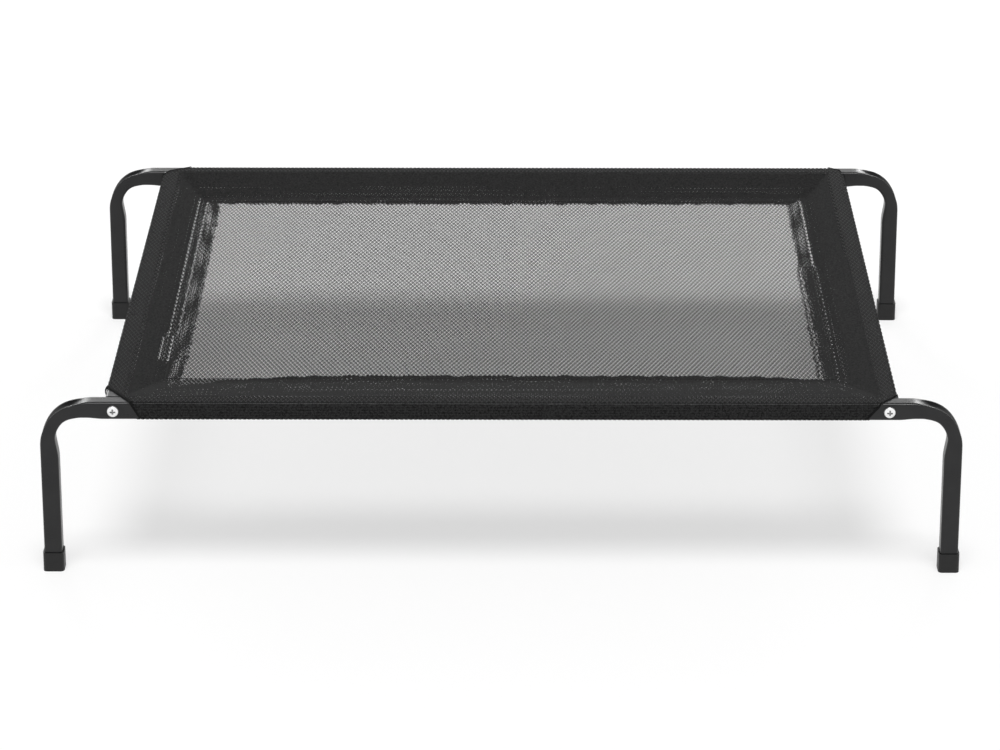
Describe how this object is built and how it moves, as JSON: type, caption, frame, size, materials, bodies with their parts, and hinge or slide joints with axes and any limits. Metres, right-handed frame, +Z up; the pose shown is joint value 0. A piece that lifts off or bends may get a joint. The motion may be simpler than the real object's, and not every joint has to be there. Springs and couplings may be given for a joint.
{
  "type": "raised pet cot",
  "caption": "Raised pet cot: a woven mesh sling in pockets around a square-tube frame, with bent tube legs, plastic foot caps and corner screws.",
  "frame": {"origin": "on the floor under the centre of the cot", "axes": "+X along the wide side to the right, +Y from front to rear, +Z up"},
  "size_m": [0.923, 0.7668, 0.1838],
  "materials": {
    "frame_coat": "satin black powder coat on steel tube",
    "foot_plastic": "moulded black plastic",
    "plug_steel": "plain steel, hidden in the bar ends",
    "screw_zinc": "bright zinc plating",
    "mesh_cloth": "plain-woven coated polyester mesh, black",
    "binding_tape": "folded and stitched cloth edge, black"
  },
  "bodies": {
    "root": {"front_leg_frame": "frame_coat", "rear_leg_frame": "frame_coat", "left_side_bar": "frame_coat", "right_side_bar": "frame_coat", "front_left_foot_cap": "foot_plastic", "front_right_foot_cap": "foot_plastic", "rear_left_foot_cap": "foot_plastic", "rear_right_foot_cap": "foot_plastic", "front_left_bar_plug": "plug_steel", "front_right_bar_plug": "plug_steel", "rear_left_bar_plug": "plug_steel", "rear_right_bar_plug": "plug_steel", "front_left_corner_screw": "screw_zinc", "front_right_corner_screw": "screw_zinc", "rear_left_corner_screw": "screw_zinc", "rear_right_corner_screw": "screw_zinc", "mesh_panel": "mesh_cloth", "front_pocket": "mesh_cloth", "rear_pocket": "mesh_cloth", "left_pocket": "mesh_cloth", "right_pocket": "mesh_cloth", "front_left_corner_binding": "binding_tape", "front_right_corner_binding": "binding_tape", "rear_left_corner_binding": "binding_tape", "rear_right_corner_binding": "binding_tape"}
  },
  "joints": []
}
